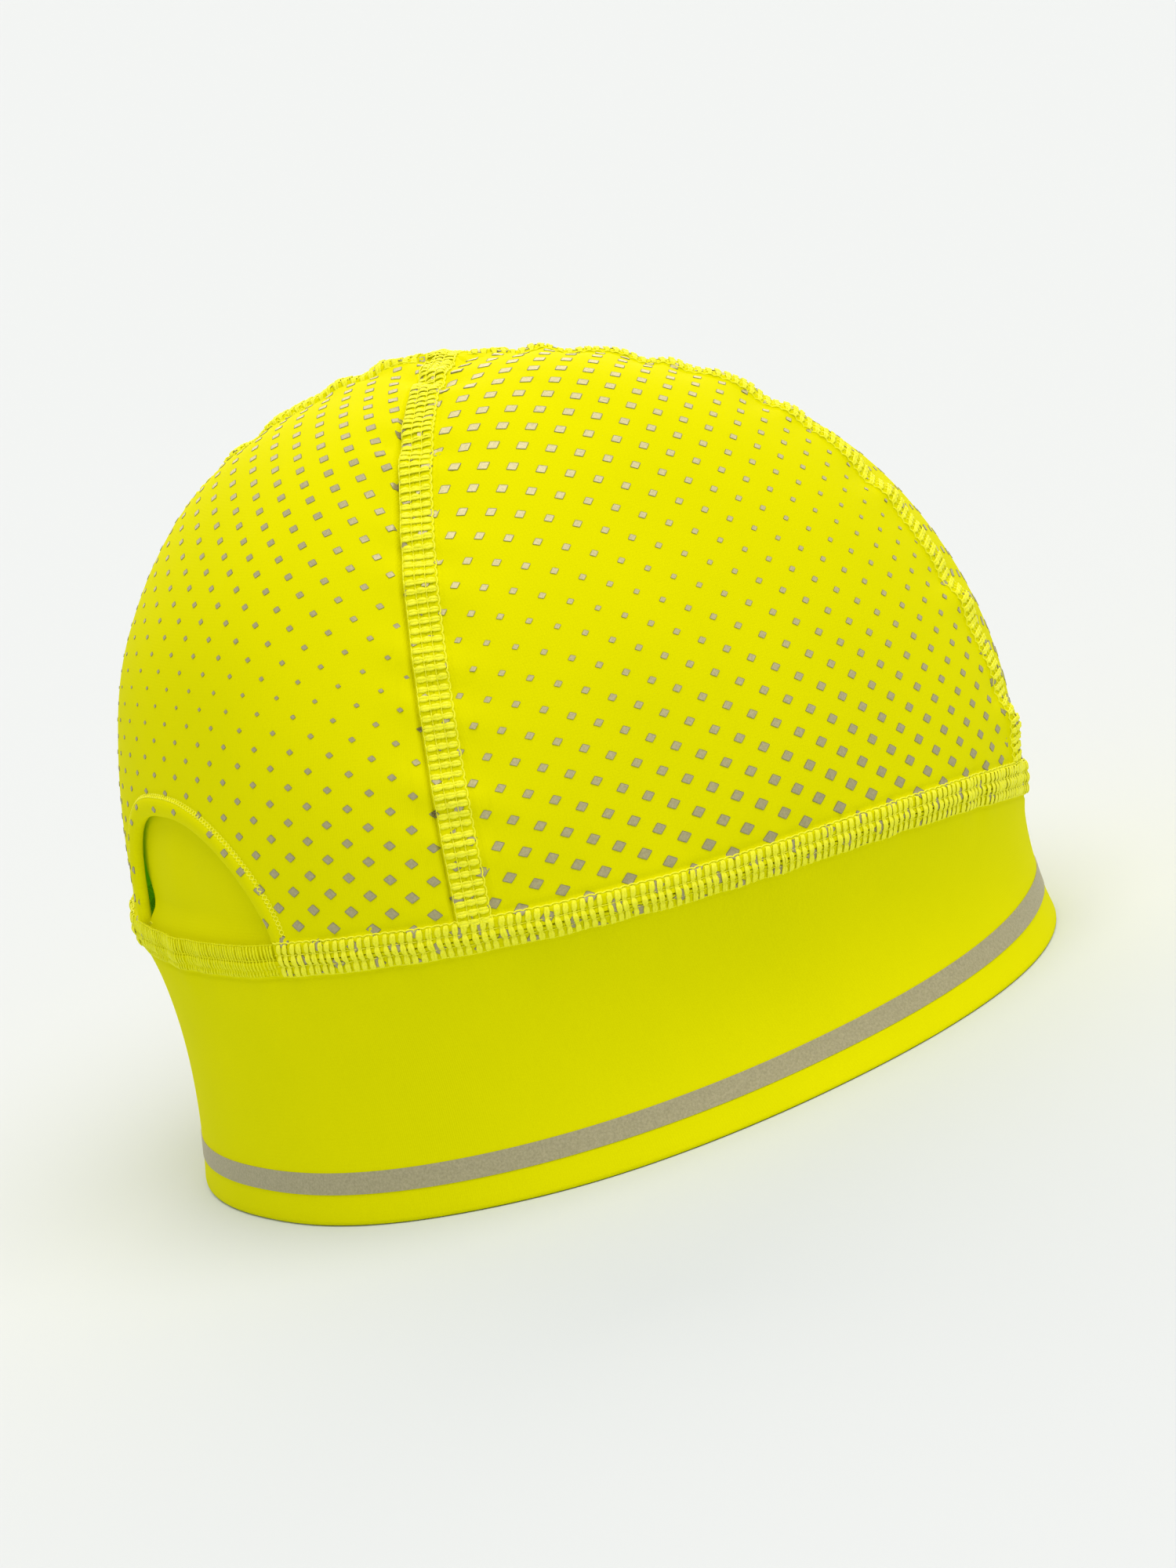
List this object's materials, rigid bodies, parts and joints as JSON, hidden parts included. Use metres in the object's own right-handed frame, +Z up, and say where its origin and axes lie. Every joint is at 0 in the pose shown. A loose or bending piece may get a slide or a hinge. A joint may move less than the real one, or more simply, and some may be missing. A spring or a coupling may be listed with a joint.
{
  "type": "high-visibility skull cap",
  "caption": "Soft close-fitting fluorescent yellow work cap: dome gores flat-seamed to a doubled headband, printed reflective squares, reflective hem stripe and flapped ponytail opening.",
  "frame": {"origin": "centre of the head opening, in the plane of the folded hem", "axes": "+X towards the wearer's forehead, +Y towards the wearer's left, +Z up towards the crown"},
  "size_m": [0.1918, 0.154, 0.1517],
  "materials": {
    "knit": "matte stretch knit, fluorescent yellow",
    "seam_thread": "twisted polyester sewing thread, fluorescent yellow",
    "reflective_film": "glass-bead retroreflective print, warm grey, fine grain",
    "label_satin": "white satin tape, blank"
  },
  "bodies": {
    "root": {"front_panel": "knit", "back_panel": "knit", "left_side_panel": "knit", "right_side_panel": "knit", "headband": "knit", "band_seam_cover_thread": "seam_thread", "band_seam_loop_thread": "seam_thread", "opening_hem_thread": "seam_thread", "headband_join_thread": "seam_thread", "crown_seam_cover_thread": "seam_thread", "crown_seam_loop_thread": "seam_thread", "rear_left_seam_cover_thread": "seam_thread", "rear_left_seam_loop_thread": "seam_thread", "front_right_seam_cover_thread": "seam_thread", "front_right_seam_loop_thread": "seam_thread", "reflective_stripe": "reflective_film", "care_label": "label_satin"},
    "flap": {"ponytail_flap": "knit"}
  },
  "joints": [
    {"name": "flap_fold", "type": "hinge", "parent": "root", "child": "flap", "pos_m": [-0.084, 0, 0.0566], "axis": [0, 1, 0], "range_deg": [0, 35], "stiffness_Nm_per_rad": 0.01}
  ]
}
